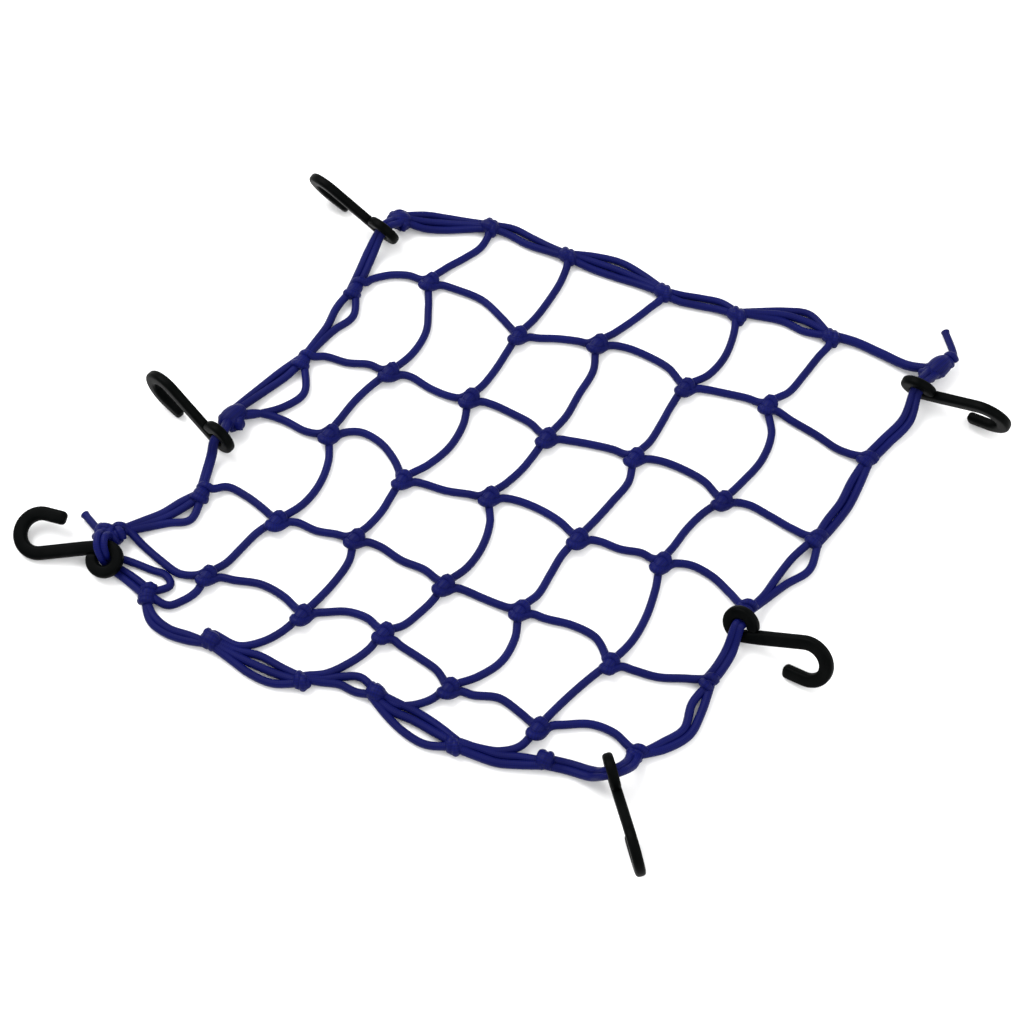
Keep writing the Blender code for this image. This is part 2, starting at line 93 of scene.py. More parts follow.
# Border strands: from knot, to knot, bows, thickness, and how high the strand lies on the others.
BORDER = (
    ((0, 0), (0, 1), (7.5, 7, 5), 4.6, 0),
    ((0, 0), (0, 1), (1, 1.5, 1.5), 4.6, 1.2),
    ((0, 0), (0, 1), (-4.5, -3.5, -1.5), 4.6, 0),
    ((0, 1), (0, 2), (7, 5.5, 3.5), 4.6, 0),
    ((0, 1), (0, 2), (0.5, -1.5, -1), 4.6, 0.6),
    ((0, 2), (0, 3), (9.5, 12.5, 9), 4.6, 0),
    ((0, 2), (0, 3), (4, 5, 4), 4.6, 0.8),
    ((0, 2), (0, 3), (-1.5, -0.7, 0.5), 4.6, 0),
    ((0, 3), (0, 4), (4, 6.5, 7.5), 4.6, 0),
    ((0, 3), (0, 4), (-2, -0.5, 1), 4.6, 0.6),
    ((0, 4), (0, 5), (9, 14, 15.5), 4.6, 0),
    ((0, 4), (0, 5), (6.5, 9.5, 8), 4.6, 1.6),
    ((0, 4), (0, 5), (4.5, 5, 0.5), 4.6, 0),
    ((0, 5), (0, 6), (3, 0.5, -3), 5.8, 0),
    ((1, 0), (2, 0), (-3, -0.5, -0.5), 4.8, 0.6),
    ((1, 0), (2, 0), (10.5, 5, 2), 4.6, 0),
    ((2, 0), (3, 0), (-4.5, -5, -4.5), 4.6, 0),
    ((2, 0), (3, 0), (1.5, 0, -1), 4.6, 1.0),
    ((2, 0), (3, 0), (19.5, 18, 11), 4.6, 0),
    ((4, 0), (5, 0), (-0.8, 0.8, 0.2), 4.8, 0.6),
    ((4, 0), (5, 0), (3.6, 4.2, 2.8), 4.6, 0),
    ((4, 0), (5, 0), (14, 9, 5.4), 4.6, 0),
    ((6, 1), (6, 2), (-12.8, -13.2, -9.2), 4.6, 0),
    ((6, 1), (6, 2), (-9.2, -9.8, -5.6), 4.6, 1.4),
    ((6, 2), (6, 3), (1, 4, 2.5), 4.6, 0),
    ((6, 2), (6, 3), (-2.5, -3, -3), 4.6, 0.8),
    ((6, 2), (6, 3), (-6, -9.5, -9.5), 4.6, 0),
    ((6, 3), (6, 4), (3.5, 8, 10), 4.6, 0),
    ((6, 3), (6, 4), (1.5, 2.5, -0.5), 4.6, 0),
    ((6, 4), (6, 5), (3.5, 5, 4.5), 4.8, 0),
    ((6, 4), (6, 5), (-3, -1, -0.5), 4.8, 0.9),
    ((6, 4), (6, 5), (-7.5, -10.5, -10), 4.6, 0),
    ((6, 5), (6, 6), (0.3, -1.4, 0.3), 4.8, 0),
    ((6, 5), (6, 6), (-4.9, -6.6, -4.9), 4.8, 0.8),
    ((1, 6), (2, 6), (4.8, 6.2, 4.8), 4.9, 0),
    ((1, 6), (2, 6), (-0.8, 0.6, -0.8), 4.9, 0.9),
    ((2, 6), (3, 6), (10, 5.5, 3), 4.6, 0),
    ((2, 6), (3, 6), (-3.5, -2, 0.5), 4.6, 0.6),
    ((4, 6), (5, 6), (2.5, 10.6, 7.2), 4.8, 0.5),
    ((4, 6), (5, 6), (10.5, 15.6, 11.8), 4.8, 0),
)

# The hook in its own plane, in millimetres and degrees, from its eye's middle: the C-shaped eye, the
# shaft along X below it, the curl that goes on a rail, and the curl's straight leg.
EYE_RADIUS = 8.6
EYE_BAR = 8.0
EYE_SWEEP = 280.0
CURL_RADIUS = 13.4
CURL_START = 43.5
CURL_SWEEP = 200.0
CURL_LEG = 11.3
SHAFT_START = 12.0
# The bar's section in the hook's plane and out of it, and its rounded corners.
BAR = 9.1
BAR_DEEP = 6.6
CORNER = 2.3
# How far an end is domed, how wide its tip is, and at which shares of its reach it narrows.
TIP_REACH = 3.0
TIP_FLAT = 0.4
DOME_SHARES = (0.25, 0.5, 0.72, 0.88, 0.97, 1.0)
# How many steps each rounded corner and each stretch of the bar is made in.
CORNER_STEPS = 5
SHAFT_STEPS = 6
CURL_STEPS = 26
LEG_STEPS = 3
NECK_STEPS = 2
EYE_STEPS = 32
# Points this close are merged. The bar's first face is found by its place, to within these.
WELD = 0.01
NEAR_ALONG = 0.01
NEAR_ACROSS = 0.1
# Each hook's eye on the plan, and how it is turned: in its own plane, about its shaft, down its
# slope, and on the floor.
HOOKS = {
    "hook_far_left": {"eye": (-76.5, 208.5), "swing": 33, "roll": 73, "slope": 0, "heading": 140},
    "hook_left": {"eye": (-181.0, 39.0), "swing": 32, "roll": 91, "slope": 0, "heading": 139},
    "hook_near_left": {"eye": (-250.0, -49.0), "swing": 0, "roll": -14, "slope": 9, "heading": 182},
    "hook_near": {"eye": (75.5, -199.5), "swing": 27, "roll": 96, "slope": 0, "heading": 284},
    "hook_right": {"eye": (160.4, -97.2), "swing": 34, "roll": 63, "slope": 0, "heading": 321},
    "hook_far_right": {"eye": (290.0, 78.0), "swing": 33, "roll": 105, "slope": 0, "heading": 330},
}

# Border pairs through the eyes: hook, from knot, to knot, bow on the way in, bows at the half and
# three quarters, and the distance between the two strands outside the eye.
THREADED = (
    ("hook_far_left", (0, 0), (1, 0), 0, (-6.5, -3.5), 4.6),
    ("hook_left", (3, 0), (4, 0), 0, (-3, -2), 1.6),
    ("hook_near", (5, 6), (6, 6), 2.5, (9.5, 4.5), 4.6),
    ("hook_right", (3, 6), (4, 6), 0, (2, 2), 4.4),
    ("hook_far_right", (0, 6), (1, 6), 0, (3.5, 2), 5.0),
)
# The pair's cords outside the eye and in it, and how far apart those are in the eye.
PAIR_CORD = 5.5
EYE_CORD = 5.0
EYE_PAIR = 3.7
# The pair is pulled up against the top of the eye, goes straight through it, and is a little lower
# where it leaves. Halfway to its knot it is still at this share of the eye's height, or higher.
EYE_RISE = 1.4
EYE_STRAIGHT = 4.0
EYE_DROP = 1.2
EYE_SAG = 0.42
# A point that is raised comes forward by this much of its rise, along the line of sight.
SLANT = 0.53
RISE = np.array((0.0, -SLANT, 1.0))
# A stretch is steep where its level part is under this share of it. There the pair keeps its side,
# which is evened out over a few points.
STEEP = 0.25
SIDE_POINTS = 7

# The near left pair: x, y, z, thickness and distance apart; and the slack loop beside it.
CORNER_PAIR = (
    (-249.5, -31.0, 10.0, 5.2, 5.0),
    (-251.5, -36.0, 17.9, 5.0, 4.8),
    (-251.8, -43.5, 18.0, 4.8, 4.4),
    (-250.2, -48.4, 12.5, 4.3, 4.0),
    (-249.6, -48.7, 7.2, 4.3, 4.0),
    (-246.8, -50.8, 2.6, 4.3, 3.9),
    (-236.5, -57.8, 2.6, 4.8, 4.6),
    (-228.4, -64.2, 2.6, 5.2, 4.9),
    (-221.5, -71.0, 5.0, 5.2, 4.9),
)
SLACK_LOOP = (
    (-248.0, -50.6, 3.4),
    (-243.5, -45.5, 2.6),
    (-237.0, -46.6, 2.4),
    (-220.0, -53.6, 2.4),
    (-210.5, -57.5, 2.4),
    (-207.0, -64.5, 2.4),
    (-221.0, -71.5, 5.0),
)
# The border cord's free ends, which flare where they are cut.
LOOSE_ENDS = (
    ((306.0, 96.0, 8.0), (313.0, 102.0, 8.5), (318.3, 108.0, 6.0), (315.5, 130.5, 3.2)),
    ((-249.5, -31.5, 11.5), (-253.0, -29.5, 8.5), (-256.8, -26.0, 6.5), (-267.5, -13.0, 3.2)),
)
# How much thicker a cut end is, and how far back that fades.
FLARE = 1.0
FLARE_REACH = 1.2

# ---------------------------------------------------------------------------------------------
# The knots, in millimetres from a knot's middle. Turns are points (across, along, up) of a cord as
# it goes twice round what it holds, and up is counted from the floor of a knot at rest.
# ---------------------------------------------------------------------------------------------
KNOT_CORD = 5.6
# A cord has its own thickness from this far from a knot's middle, and swells to the knot's thickness
# over this much of the way in.
KNOT_FULL = 10.0
KNOT_FADE = 3.0
# The rounded mass that the turns are pressed into: length, thickness and height of the middle; and
# how far short of its two ends it stops, in radians.
KNOT_HEART = (14.5, 9.8, 5.0)
HEART_STEPS = 14
HEART_END = 0.04
# No two knots are tied alike: in their heading, in radians, in their size, and in each turn's place.
HEADING_JITTER = 0.1
SIZE_JITTER = 0.04
TURN_JITTER = 0.3
CORD_SEED = 7
BIG_KNOT_SEED = 11

# A cross knot lies a little off its strands' meeting point, and its cord comes in and goes out at
# this distance and height.
LUMP_SHIFT = np.array((-0.5, -1.5, 0.0))
KNOT_ENTRY = (7.0, 3.2)
KNOT_EXIT = (7.4, 3.4)
CROSS_TURNS = (
    (-3.4, 1.8, 5.2),
    (-1.4, 4.8, 8.2),
    (1.8, 4.6, 7.4),
    (3.4, 2.2, 4.4),
    (0.8, 0.4, 2.9),
    (-2.0, -1.8, 3.2),
    (-2.9, -4.4, 5.4),
    (-0.3, -6.4, 7.9),
    (2.9, -5.2, 7.6),
    (4.0, -1.6, 5.0),
)
# Border knots: across is towards the net's inside, and the last points are the tucked end.
LEFT_TURNS = (
    (2.8, 7.6, 5.6),
    (-0.6, 6.0, 8.2),
    (-3.8, 4.2, 5.4),
    (-2.6, 2.4, 2.9),
    (0.8, 0.6, 2.9),
    (3.9, -0.8, 4.0),
    (3.5, -2.8, 7.0),
    (0.0, -4.2, 8.0),
    (-3.0, -4.2, 5.4),
    (-2.0, -2.4, 3.4),
    (0.0, -0.5, 3.6),
)
RIGHT_TURNS = (
    (4.6, 0.4, 4.8),
    (0.6, 3.0, 8.2),
    (-3.8, 4.4, 5.4),
    (-2.6, 2.4, 2.9),
    (0.8, 0.2, 2.9),
    (3.9, -1.6, 4.0),
    (3.5, -3.4, 7.0),
    (0.0, -3.8, 8.0),
    (-3.2, -3.2, 5.4),
    (-2.0, -2.0, 3.4),
    (0.0, -0.5, 3.6),
)
END_TURNS = (
    (4.2, -1.0, 4.8),
    (0.4, 0.8, 8.1),
    (-4.1, 2.2, 5.6),
    (-3.2, 1.8, 2.9),
    (0.0, 0.0, 2.9),
    (3.8, -2.8, 3.4),
    (4.3, -3.4, 5.6),
    (0.6, -2.4, 7.8),
    (-4.0, -0.9, 5.4),
    (-3.0, -0.2, 3.2),
    (0.0, 0.0, 3.6),
)
BIG_TURNS = (
    (4.2, 4.2, 4.8),
    (0.0, 3.6, 8.0),
    (-4.0, 2.4, 5.6),
    (-3.2, 1.2, 2.9),
    (0.0, 0.0, 2.9),
    (3.8, -1.0, 3.4),
    (3.6, -2.2, 6.0),
    (0.0, -3.8, 7.8),
    (-3.8, -4.2, 5.4),
    (-3.0, -2.2, 3.2),
    (0.0, 0.0, 3.6),
)
# On each side of the net: the way along the border, the turns, how full the heart is across and
# along, and the hand of the turns, 1 where across is to the right of along and -1 where it is left.
BORDER_SIDES = {
    "left": (-STEP_DOWN, LEFT_TURNS, (1.0, 0.9), 1),
    "right": (-STEP_DOWN, RIGHT_TURNS, (1.0, 0.9), -1),
    "far": (-STEP_ACROSS, END_TURNS, (1.18, 0.82), -1),
    "near": (STEP_ACROSS, END_TURNS, (1.18, 0.82), -1),
}
# Where border knots lie beside their strands' meeting point, and their size across and along.
BORDER_LUMPS = {
    (1, 0): ((0.8, 1.0, 0.0), (1.0, 1.25)),
    (2, 0): ((0.3, -1.0, 0.0), (1.0, 1.0)),
    (4, 0): ((0.3, -1.0, 0.0), (1.1, 1.0)),
    (5, 0): ((-4.0, -4.5, 0.0), (0.95, 1.0)),
    (1, 6): ((1.0, 1.2, 0.0), (1.0, 1.0)),
    (2, 6): ((0.8, 1.6, 0.0), (1.0, 1.1)),
    (3, 6): ((0.8, 2.6, 0.0), (0.9, 0.9)),
    (4, 6): ((0.8, 0.2, 0.0), (0.72, 1.0)),
    (5, 6): ((1.2, -0.4, 0.0), (0.95, 0.9)),
    (0, 1): ((0.0, 0.6, 0.0), (0.96, 1.3)),
    (0, 2): ((0.0, 0.2, 0.0), (0.9, 1.25)),
    (0, 3): ((0.4, 0.6, 0.0), (0.92, 1.2)),
    (0, 4): ((0.0, 0.0, 0.0), (0.9, 1.3)),
    (0, 5): ((2.4, -1.2, 0.0), (0.85, 1.25)),
    (6, 2): ((-0.6, 0.4, 0.0), (1.0, 1.25)),
    (6, 3): ((0.0, -1.4, 0.0), (0.76, 1.1)),
    (6, 4): ((1.0, 0.8, 0.0), (1.0, 1.2)),
    (6, 5): ((-0.5, -1.8, 0.0), (0.76, 1.1)),
}
# Big knots: for each pair of turns the heading in degrees of what it holds, its size across and
# along, its place from the strands' meeting point, and how full its heart is.
BIG_KNOTS = {
    (0, 0): (
        (5.0, (1.15, 1.1), (-3.0, -1.0, 0.0), 1.15),
        (95.0, (1.05, 1.0), (-3.0, -1.0, 0.0), 1.0),
        (-50.0, (0.75, 0.65), (0.0, -4.0, -2.0), 1.0),
    ),
    (0, 6): (
        (37.0, (0.95, 0.95), (-6.5, -4.5, 0.0), 1.2),
        (37.0, (1.2, 1.25), (0.0, 0.0, 0.5), 1.25),
        (45.0, (0.7, 0.75), (8.0, 6.0, 0.0), 1.1),
    ),
    (3, 0): (
        (42.0, (1.2, 1.25), (0.8, -1.5, 0.0), 1.25),
        (132.0, (1.15, 1.05), (-0.2, -3.0, 0.0), 1.0),
        (-20.0, (0.95, 0.85), (3.2, -6.0, -0.5), 1.1),
    ),
    (6, 0): (
        (70.0, (1.1, 1.05), (-1.8, 4.2, 0.5), 1.0),
        (160.0, (1.05, 1.0), (-1.8, 4.2, 0.5), 1.0),
        (20.0, (0.9, 0.75), (6.0, 3.0, 0.0), 1.0),
    ),
    (6, 1): (
        (78.0, (0.8, 1.0), (0.3, 1.0, 0.0), 1.1),
        (78.0, (0.75, 0.8), (0.3, -2.5, 0.0), 1.0),
    ),
    (6, 6): ((-23.0, (1.0, 0.75), (0.0, 0.8, 0.0), 1.15),),
}

# A cord's mesh: sides of its section, distance between its rings, points of the curve from one given
# point to the next, and how wide the ring in its flat end is. A cord that starts closer than this to
# straight up has its first side along X.
TUBE_SIDES = 16
TUBE_STEP = 1.5
CURVE_STEPS = 24
END_RING = 0.45
UPRIGHT = 0.1

# ---------------------------------------------------------------------------------------------
# The studio, in metres, watts and degrees
# ---------------------------------------------------------------------------------------------
FLOOR_SIZE = 12.0
FLOOR_HEIGHT = -0.0002
ROOM_LIGHT = 1.1
LIGHTS = (
    {"name": "key", "place": (-1.1, 1.0, 1.9), "size": 1.5, "watts": 54.0},
    {"name": "fill", "place": (1.4, -0.8, 1.7), "size": 1.8, "watts": 19.0},
)
CAMERA_TARGET = Vector((0.0146, -0.0094, 0.0))
CAMERA_DISTANCE = 1.32
CAMERA_RISE = 62.0
LENS_MM = 70.0
SENSOR_MM = 36.0
NEAR_CLIP = 0.05
FAR_CLIP = 30.0


# ---------------------------------------------------------------------------------------------
# Finishes
# ---------------------------------------------------------------------------------------------
def linear(hex_colour):
    """An sRGB hex colour as linear red, green, blue and alpha."""
    channels = [int(hex_colour[i:i + 2], 16) / 255 for i in (1, 3, 5)]
    return tuple(c / 12.92 if c <= 0.04045 else ((c + 0.055) / 1.055) ** 2.4 for c in channels) + (1.0,)


def add_node(tree, kind, links=(), **settings):
    """A node with its settings; links are (input name or number, output socket or plain value)."""
    node = tree.nodes.new(kind)
    for name, value in settings.items():
        setattr(node, name, value)
    for key, source in links:
        if isinstance(source, bpy.types.NodeSocket):
            tree.links.new(source, node.inputs[key])
        else:
            node.inputs[key].default_value = source
    return node


def braided_sheath():
    """Braided polyester sheath over rubber, dyed royal blue: matte, with a soft sheen on the fibres
    and small diamonds where its strands cross, with painted shade in the gaps between them."""
    made = bpy.data.materials.new("braided_polyester_sheath")
    made.use_nodes = True
    tree = made.node_tree
    shader = tree.nodes["Principled BSDF"]

    # The UV map gives millimetres along the cord, and turns round it. The braid repeats every 2.4 mm
    # along the cord, and has 8 strands each way round it.
    pick_mm = 2.4
    carriers = 8.0
    cord_map = add_node(tree, "ShaderNodeUVMap", uv_map="cord")
    place = add_node(tree, "ShaderNodeSeparateXYZ", [(0, cord_map.outputs[0])])
    links = [(0, place.outputs[0]), (1, math.tau / pick_mm)]
    along = add_node(tree, "ShaderNodeMath", links, operation="MULTIPLY")
    links = [(0, place.outputs[1]), (1, math.tau * carriers)]
    turned = add_node(tree, "ShaderNodeMath", links, operation="MULTIPLY")
    waves = []
    links = [(0, along.outputs[0]), (1, turned.outputs[0])]
    for way in ("ADD", "SUBTRACT"):
        phase = add_node(tree, "ShaderNodeMath", links, operation=way)
        waves.append(add_node(tree, "ShaderNodeMath", [(0, phase.outputs[0])], operation="SINE").outputs[0])
    crossing = add_node(tree, "ShaderNodeMath", [(0, waves[0]), (1, waves[1])], operation="MULTIPLY")
    picks = add_node(tree, "ShaderNodeMapRange", [(0, crossing.outputs[0]), (1, -1.0), (2, 1.0)])

    # Fibres about 0.4 mm apart, drawn coarser than real so that they show; dye and rub that vary over
    # about 30 mm of cord.
    where = add_node(tree, "ShaderNodeTexCoord").outputs["Object"]
    fibres = add_node(tree, "ShaderNodeTexNoise", [("Vector", where), ("Scale", 2500.0), ("Detail", 2.0)])
    dye = add_node(tree, "ShaderNodeTexNoise", [("Vector", where), ("Scale", 33.0), ("Detail", 3.0)])
    tones = add_node(tree, "ShaderNodeValToRGB", [(0, dye.outputs[0])])
    dark, light = tones.color_ramp.elements
    dark.position = 0.3
    dark.color = linear("#030745")
    light.position = 0.7
    light.color = linear("#081057")
    # The gaps between the braid's strands are painted darker: painted shade in the braid's recesses.
    links = [(0, picks.outputs[0]), (6, linear("#040739")), (7, tones.outputs[0])]
    # This mix lays the painted shade of the gaps over the dye's tones.
    dye_and_gap_shade = add_node(tree, "ShaderNodeMix", links, data_type="RGBA")
    tree.links.new(dye_and_gap_shade.outputs[2], shader.inputs["Base Color"])

    # The braid stands 0.16 mm high, and the fibres 0.06 mm.
    links = [("Height", picks.outputs[0]), ("Distance", 0.00016), ("Strength", 0.8)]
    relief = add_node(tree, "ShaderNodeBump", links)
    links = [("Height", fibres.outputs[0]), ("Distance", 0.00006), ("Strength", 0.5)]
    fuzz = add_node(tree, "ShaderNodeBump", links + [("Normal", relief.outputs[0])])
    tree.links.new(fuzz.outputs[0], shader.inputs["Normal"])
    rough = add_node(tree, "ShaderNodeMapRange", [(0, fibres.outputs[0]), (3, 0.4), (4, 0.52)])
    tree.links.new(rough.outputs[0], shader.inputs["Roughness"])
    shader.inputs["Sheen Weight"].default_value = 0.03
    shader.inputs["Sheen Roughness"].default_value = 0.4
    shader.inputs["Sheen Tint"].default_value = linear("#5560c0")
    shader.inputs["Specular IOR Level"].default_value = 0.075
    return made


def moulded_black():
    """Injection moulded black nylon: satin, faintly uneven in tone and gloss."""
    made = bpy.data.materials.new("moulded_black_nylon")
    made.use_nodes = True
    tree = made.node_tree
    shader = tree.nodes["Principled BSDF"]

    # Flow marks about 12 mm long, and a mould texture of about 0.5 mm that stands 0.04 mm high.
    where = add_node(tree, "ShaderNodeTexCoord").outputs["Object"]
    flow = add_node(tree, "ShaderNodeTexNoise", [("Vector", where), ("Scale", 85.0), ("Detail", 3.0)])
    grain = add_node(tree, "ShaderNodeTexNoise", [("Vector", where), ("Scale", 2000.0), ("Detail", 2.0)])
    tones = add_node(tree, "ShaderNodeValToRGB", [(0, flow.outputs[0])])
    dark, light = tones.color_ramp.elements
    dark.position = 0.35
    dark.color = linear("#020303")
    light.position = 0.75
    light.color = linear("#060707")
    tree.links.new(tones.outputs[0], shader.inputs["Base Color"])
    rough = add_node(tree, "ShaderNodeMapRange", [(0, flow.outputs[0]), (3, 0.36), (4, 0.5)])
    tree.links.new(rough.outputs[0], shader.inputs["Roughness"])
    links = [("Height", grain.outputs[0]), ("Distance", 0.00004), ("Strength", 0.4)]
    relief = add_node(tree, "ShaderNodeBump", links)
    tree.links.new(relief.outputs[0], shader.inputs["Normal"])
    shader.inputs["Specular IOR Level"].default_value = 0.02
    return made


# ---------------------------------------------------------------------------------------------
# Cords
# ---------------------------------------------------------------------------------------------
def run_along(line):
    """How far along the line each of its points is."""
    return np.concatenate(([0.0], np.cumsum(np.linalg.norm(np.diff(line, axis=0), axis=1))))


def smooth_line(points):
    """Even steps along a smooth curve through the points, whose slope at each point comes from the
    gaps on both sides of it."""
    points = np.asarray(points, float)
    ends = np.vstack((2 * points[0] - points[1], points, 2 * points[-1] - points[-2]))
    gaps = np.linalg.norm(np.diff(ends, axis=0), axis=1) ** 0.5
    t = np.linspace(0, 1, CURVE_STEPS, endpoint=False)[:, None]
    line = []
    for k in range(1, len(ends) - 2):
        p0, p1, p2, p3 = ends[k - 1:k + 3]
        a, b, c = gaps[k - 1:k + 2]
        leave = b * ((p1 - p0) / a - (p2 - p0) / (a + b) + (p2 - p1) / b)
        arrive = b * ((p2 - p1) / b - (p3 - p1) / (b + c) + (p3 - p2) / c)
        line.append((2 * t**3 - 3 * t**2 + 1) * p1 + (t**3 - 2 * t**2 + t) * leave
                    + (3 * t**2 - 2 * t**3) * p2 + (t**3 - t**2) * arrive)
    line = np.vstack(line + [points[-1:]])
    run = run_along(line)
    even = np.linspace(0, run[-1], max(int(round(run[-1] / TUBE_STEP)), 2) + 1)
    return np.stack([np.interp(even, run, line[:, axis]) for axis in range(3)], axis=1)


def rings_along(line, thickness):
    """A ring of points round each point of the line, each turned as little as it can be."""
    ways = np.gradient(line, axis=0)
    ways /= np.linalg.norm(ways, axis=1)[:, None]
    side = np.cross(UP, ways[0])
    lean = np.linalg.norm(side)
    side = side / lean if lean > UPRIGHT else np.array((1.0, 0.0, 0.0))
    angles = math.tau * np.arange(TUBE_SIDES)[:, None] / TUBE_SIDES
    rings = []
    for middle, way, wide in zip(line, ways, thickness):
        side = side - way * side.dot(way)
        side /= np.linalg.norm(side)
        other = np.cross(way, side)
        rings.append(middle + wide / 2 * (np.cos(angles) * side + np.sin(angles) * other))
    return rings


class Cords:
    """Gathers tubes of cord into one mesh, with millimetres along and turns round as its UV map."""

    def __init__(self):
        self.points, self.faces, self.uvs, self.count = [], [], [], 0

    def add(self, line, thickness, flare=0.0):
        """One tube along the line, no lower than the floor; thickness is a number, or one for each
        point of the line."""
        line = np.asarray(line, float)
        thickness = np.broadcast_to(np.asarray(thickness, float), (len(line),)).copy()
        line = np.column_stack((line[:, :2], np.maximum(line[:, 2], thickness / 2)))
        run = run_along(line)
        thickness += flare * np.exp(-(run[-1] - run) / FLARE_REACH)
        rings = rings_along(line, thickness)
        first_ring = line[0] + END_RING * (rings[0] - line[0])
        last_ring = line[-1] + END_RING * (rings[-1] - line[-1])
        self.join(np.concatenate((run[:1], run, run[-1:])))
        self.points.append(np.vstack([line[:1], first_ring] + rings + [last_ring, line[-1:]]))
        self.count += len(self.points[-1])

    def join(self, alongs):
        """Faces and UVs of a tube whose rings are this far along it, closed by a fan at each end."""
        first = self.count
        start = first + 1
        end = start + (len(alongs) - 1) * TUBE_SIDES
        sides = [(side, (side + 1) % TUBE_SIDES) for side in range(TUBE_SIDES)]
        for side, after in sides:
            self.faces.append((first, start + after, start + side))
            self.uvs += [(alongs[0], side / TUBE_SIDES)] * 3
        for ring, (u, v) in enumerate(zip(alongs, alongs[1:])):
            low = start + ring * TUBE_SIDES
            high = low + TUBE_SIDES
            for side, after in sides:
                turn, next_turn = side / TUBE_SIDES, (side + 1) / TUBE_SIDES
                self.faces.append((low + side, low + after, high + after, high + side))
                self.uvs += [(u, turn), (u, next_turn), (v, next_turn), (v, turn)]
        for side, after in sides:
            self.faces.append((end + side, end + after, end + TUBE_SIDES))
            self.uvs += [(alongs[-1], side / TUBE_SIDES)] * 3

    def piece(self, name, surface):
        """The finished object of all the tubes."""
        mesh = bpy.data.meshes.new(name)
        mesh.from_pydata((np.vstack(self.points) * MM).tolist(), [], self.faces)
        layer = mesh.uv_layers.new(name="cord")
        layer.data.foreach_set("uv", np.asarray(self.uvs, float).ravel())
        mesh.polygons.foreach_set("use_smooth", [True] * len(mesh.polygons))
        mesh.materials.append(surface)
        made = bpy.data.objects.new(name, mesh)
        bpy.context.scene.collection.objects.link(made)
        return made


def knot_place(row, column):
    """The middle of the knot at this row and column."""
    place = (row - MIDDLE) * STEP_DOWN + (column - MIDDLE) * STEP_ACROSS
    place = place + (*KNOT_DRIFT[row][column], 0.0)
    place[2] = KNOT_HELD.get((row, column), KNOT_REST)
    return place


def heading_of(way):
    """The heading of a way on the plan, in radians from X."""
    return math.atan2(way[1], way[0])


def left_of(way):
    """The level way to the left of this one, one millimetre long."""
    return np.array((-way[1], way[0], 0.0)) / math.hypot(way[0], way[1])


def strand_middle(start, end, bows, thickness, lift=0.0):
    """The three points between two knots of a strand that lies on the floor."""
    rest = thickness / 2 + lift
    points = []
    for along, bow in zip((0.25, 0.5, 0.75), bows):
        point = start + (end - start) * along + left_of(end - start) * bow
        from_start = (start[2] - rest) * (1 - along) ** DROP_POWER
        from_end = (end[2] - rest) * along ** DROP_POWER
        point[2] = rest + from_start + from_end
        points.append(point)
    return points


def swollen(line, knots, cord):
    """The cord's thickness along the line: fuller in the knots."""
    near = np.min([np.linalg.norm((line - knot)[:, :2], axis=1) for knot in knots], axis=0)
    return cord + np.clip((KNOT_FULL - near) / KNOT_FADE, 0, 1) * (KNOT_CORD - cord)


# ---------------------------------------------------------------------------------------------
# Knots
# ---------------------------------------------------------------------------------------------
def knot_frame(centre, heading, steady, hand=1):
    """A function that places (across, along, up) points at the knot, its along at the heading and
    its across to the right of it, or to the left where the hand is -1."""
    heading += steady.uniform(-HEADING_JITTER, HEADING_JITTER)
    along = np.array((math.cos(heading), math.sin(heading), 0.0))
    across = hand * np.array((along[1], -along[0], 0.0))

    def placed(x, y, z):
        return centre + x * across + y * along + (0, 0, z - KNOT_REST)

    return placed


def knot_heart(cords, placed, length, thick):
    """The rounded mass in a knot."""
    long, wide, height = KNOT_HEART
    turn = np.linspace(HEART_END, math.pi - HEART_END, HEART_STEPS)
    heart = np.array([placed(0, 0.5 * long * length * math.cos(t), height) for t in turn])
    cords.add(heart, wide * thick * np.sin(turn))


def placed_turns(placed, table, wide, long, steady):
    """The table's turns at the knot, each a little off its place."""
    turns = []
    for x, y, z in table:
        x += steady.uniform(-TURN_JITTER, TURN_JITTER)
        y += steady.uniform(-TURN_JITTER, TURN_JITTER)
        turns.append(placed(x * wide, y * long, z))
    return turns


def cross_turns(cords, knot, before, after, steady):
    """Points of a row's cord through a knot: in, twice round the column's cord, and out."""
    placed = knot_frame(knot + LUMP_SHIFT, heading_of(-STEP_DOWN), steady)
    size = steady.uniform(1 - SIZE_JITTER, 1 + SIZE_JITTER)
    knot_heart(cords, placed, size, size)
    turns = placed_turns(placed, CROSS_TURNS, size, size, steady)
    ends = []
    for target, (reach, height) in ((before, KNOT_ENTRY), (after, KNOT_EXIT)):
        way = (target - knot) * (1, 1, 0)
        end = knot + way / np.linalg.norm(way) * reach
        end[2] = knot[2] - KNOT_REST + height
        ends.append(end)
    return [ends[0]] + turns + [ends[1]]


def wrapped_turns(cords, knot, heading, table, steady, size, heart, hand=1):
    """Points of a cord that comes to what it holds, goes twice round it and is tucked in."""
    placed = knot_frame(knot, heading, steady, hand)
    wide, long = size
    knot_heart(cords, placed, long * heart[1], wide * heart[0])
    return placed_turns(placed, table, wide, long, steady)


def border_knot(cords, row, column, steady):
    """The border knot of a cord's end, from the net's inside to the tuck."""
    if column == 0:
        side = "left"
    elif column == LAST:
        side = "right"
    else:
        side = "far" if row == 0 else "near"
    way, table, heart, hand = BORDER_SIDES[side]
    shift, size = BORDER_LUMPS[row, column]
    knot = knot_place(row, column) + shift
    return wrapped_turns(cords, knot, heading_of(way), table, steady, size, heart, hand)


